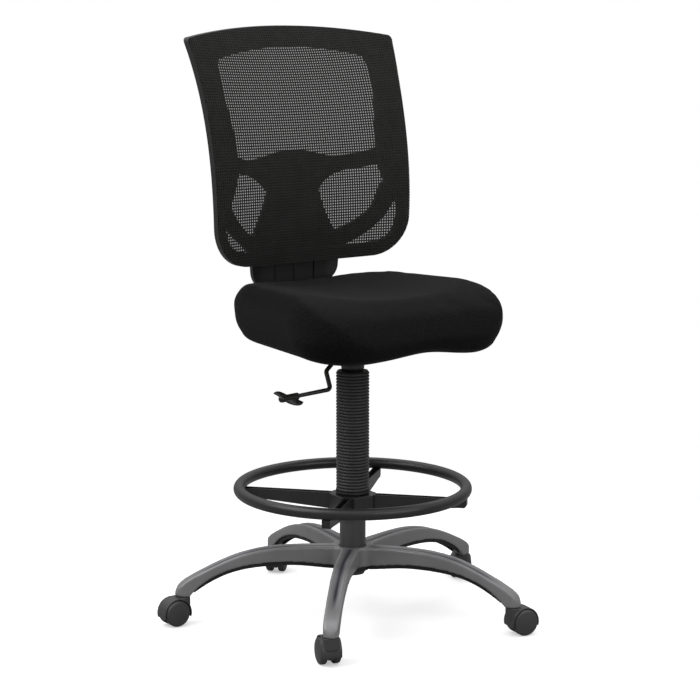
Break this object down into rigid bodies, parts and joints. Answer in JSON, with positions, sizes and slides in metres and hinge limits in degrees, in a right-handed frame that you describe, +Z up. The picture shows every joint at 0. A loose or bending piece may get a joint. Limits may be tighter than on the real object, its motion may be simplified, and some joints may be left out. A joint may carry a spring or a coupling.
{
  "type": "drafting chair",
  "caption": "Tall swivel chair on a five-arm caster base, with gas lift under a bellows, foot ring, upholstered seat and height-adjustable mesh back.",
  "frame": {"origin": "on the floor, on the axis of the column", "axes": "+Z up along the column, -Y the way the sitter faces, -X the sitter's right, where the height lever is"},
  "size_m": [0.7108, 0.692, 1.123],
  "materials": {
    "arm_paint": "satin grey powder coat",
    "dark_paint": "satin black powder coat",
    "steel": "ground and zinc plated",
    "black_plastic": "fine moulded grain",
    "caster_plastic": "moulded, slight sheen",
    "bellows_plastic": "flexible, satin",
    "board": "bare plywood",
    "seat_fabric": "woven black upholstery over moulded foam",
    "mesh_fabric": "open knitted mesh",
    "grip_plastic": "moulded"
  },
  "bodies": {
    "base": {"base_star": "arm_paint", "base_frame": "dark_paint", "gas_tube": "dark_paint", "guide_bush": "black_plastic", "thrust_bearing": "steel", "bellows_clip": "black_plastic"},
    "lift_rod": {"piston_rod": "steel", "retaining_clip": "steel", "bellows": "bellows_plastic"},
    "seat": {"piston_tube": "steel", "seat_plate": "dark_paint", "bellows_collar": "black_plastic", "lever_bush": "black_plastic", "seat_pan": "board", "seat_cushion": "seat_fabric", "seat_bolts": "steel", "tee_nuts": "steel", "back_upright": "dark_paint"},
    "release_button": {"release_button": "steel"},
    "lever": {"lever_rod": "dark_paint", "lever_paddle": "grip_plastic"},
    "back": {"sleeve_front": "black_plastic", "sleeve_rear": "black_plastic", "sleeve_screws": "steel", "back_support": "black_plastic", "back_frame": "black_plastic", "back_mesh": "mesh_fabric", "back_screws": "steel"},
    "ring_collar": {"footring_collet": "black_plastic"},
    "foot_ring": {"footring_tube": "dark_paint", "footring_hub": "dark_paint", "footring_spoke_1": "dark_paint", "footring_spoke_2": "dark_paint", "footring_spoke_3": "dark_paint", "footring_spoke_4": "dark_paint"},
    "caster_1": {"caster_hood_1": "caster_plastic", "caster_stem_1": "steel", "caster_axle_1": "steel"},
    "wheel_a_1": {"caster_wheel_a_1": "caster_plastic"},
    "wheel_b_1": {"caster_wheel_b_1": "caster_plastic"},
    "caster_2": {"caster_hood_2": "caster_plastic", "caster_stem_2": "steel", "caster_axle_2": "steel"},
    "wheel_a_2": {"caster_wheel_a_2": "caster_plastic"},
    "wheel_b_2": {"caster_wheel_b_2": "caster_plastic"},
    "caster_3": {"caster_hood_3": "caster_plastic", "caster_stem_3": "steel", "caster_axle_3": "steel"},
    "wheel_a_3": {"caster_wheel_a_3": "caster_plastic"},
    "wheel_b_3": {"caster_wheel_b_3": "caster_plastic"},
    "caster_4": {"caster_hood_4": "caster_plastic", "caster_stem_4": "steel", "caster_axle_4": "steel"},
    "wheel_a_4": {"caster_wheel_a_4": "caster_plastic"},
    "wheel_b_4": {"caster_wheel_b_4": "caster_plastic"},
    "caster_5": {"caster_hood_5": "caster_plastic", "caster_stem_5": "steel", "caster_axle_5": "steel"},
    "wheel_a_5": {"caster_wheel_a_5": "caster_plastic"},
    "wheel_b_5": {"caster_wheel_b_5": "caster_plastic"}
  },
  "joints": [
    {"name": "seat_swivel", "type": "hinge", "parent": "base", "child": "lift_rod", "pos_m": [0, 0, 0.09], "axis": [0, 0, 1], "continuous": true},
    {"name": "seat_height", "type": "slide", "parent": "lift_rod", "child": "seat", "axis": [0, 0, 1], "range_m": [0, 0.25], "deforming": ["bellows"]},
    {"name": "lever_lift", "type": "hinge", "parent": "seat", "child": "lever", "pos_m": [-0.04075, -0.02076, 0.5151], "axis": [-0.454, 0.891, 0], "range_deg": [0, 2.8], "stiffness_Nm_per_rad": 2, "springref_deg": -2.86},
    {"name": "button_press", "type": "slide", "parent": "seat", "child": "release_button", "axis": [0, 0, -1], "range_m": [0, 0.0026]},
    {"name": "back_height", "type": "slide", "parent": "seat", "child": "back", "axis": [0, 0, 1], "range_m": [0, 0.06]},
    {"name": "ring_height", "type": "slide", "parent": "base", "child": "ring_collar", "axis": [0, 0, 1], "range_m": [-0.06, 0]},
    {"name": "ring_twist", "type": "hinge", "parent": "ring_collar", "child": "foot_ring", "pos_m": [0, 0, 0.2505], "axis": [0, 0, 1], "range_deg": [0, 45]},
    {"name": "caster_1_swivel", "type": "hinge", "parent": "base", "child": "caster_1", "pos_m": [-0.22799, -0.23858, 0.055], "axis": [0, 0, 1], "continuous": true},
    {"name": "wheel_a_1_spin", "type": "hinge", "parent": "caster_1", "child": "wheel_a_1", "pos_m": [-0.22149, -0.22073, 0.025], "axis": [-0.9397, 0.342, 0], "continuous": true},
    {"name": "wheel_b_1_spin", "type": "hinge", "parent": "caster_1", "child": "wheel_b_1", "pos_m": [-0.22149, -0.22073, 0.025], "axis": [-0.9397, 0.342, 0], "continuous": true},
    {"name": "caster_2_swivel", "type": "hinge", "parent": "base", "child": "caster_2", "pos_m": [0.15645, -0.29056, 0.055], "axis": [0, 0, 1], "continuous": true},
    {"name": "wheel_a_2_spin", "type": "hinge", "parent": "caster_2", "child": "wheel_a_2", "pos_m": [0.17503, -0.29451, 0.025], "axis": [0.2079, 0.9781, 0], "continuous": true},
    {"name": "wheel_b_2_spin", "type": "hinge", "parent": "caster_2", "child": "wheel_b_2", "pos_m": [0.17503, -0.29451, 0.025], "axis": [0.2079, 0.9781, 0], "continuous": true},
    {"name": "caster_3_swivel", "type": "hinge", "parent": "base", "child": "caster_3", "pos_m": [0.32468, 0.05901, 0.055], "axis": [0, 0, 1], "continuous": true},
    {"name": "wheel_a_3_spin", "type": "hinge", "parent": "caster_3", "child": "wheel_a_3", "pos_m": [0.33447, 0.07529, 0.025], "axis": [-0.8572, 0.515, 0], "continuous": true},
    {"name": "wheel_b_3_spin", "type": "hinge", "parent": "caster_3", "child": "wheel_b_3", "pos_m": [0.33447, 0.07529, 0.025], "axis": [-0.8572, 0.515, 0], "continuous": true},
    {"name": "caster_4_swivel", "type": "hinge", "parent": "base", "child": "caster_4", "pos_m": [0.04421, 0.32702, 0.055], "axis": [0, 0, 1], "continuous": true},
    {"name": "wheel_a_4_spin", "type": "hinge", "parent": "caster_4", "child": "wheel_a_4", "pos_m": [0.05811, 0.33998, 0.025], "axis": [-0.682, 0.7314, 0], "continuous": true},
    {"name": "wheel_b_4_spin", "type": "hinge", "parent": "caster_4", "child": "wheel_b_4", "pos_m": [0.05811, 0.33998, 0.025], "axis": [-0.682, 0.7314, 0], "continuous": true},
    {"name": "caster_5_swivel", "type": "hinge", "parent": "base", "child": "caster_5", "pos_m": [-0.29735, 0.14311, 0.055], "axis": [0, 0, 1], "continuous": true},
    {"name": "wheel_a_5_spin", "type": "hinge", "parent": "caster_5", "child": "wheel_a_5", "pos_m": [-0.31634, 0.14377, 0.025], "axis": [-0.0349, -0.9994, 0], "continuous": true},
    {"name": "wheel_b_5_spin", "type": "hinge", "parent": "caster_5", "child": "wheel_b_5", "pos_m": [-0.31634, 0.14377, 0.025], "axis": [-0.0349, -0.9994, 0], "continuous": true}
  ],
  "couplings": [
    {"joint": "button_press", "follows": "lever_lift", "m_per_rad": 0.049}
  ]
}
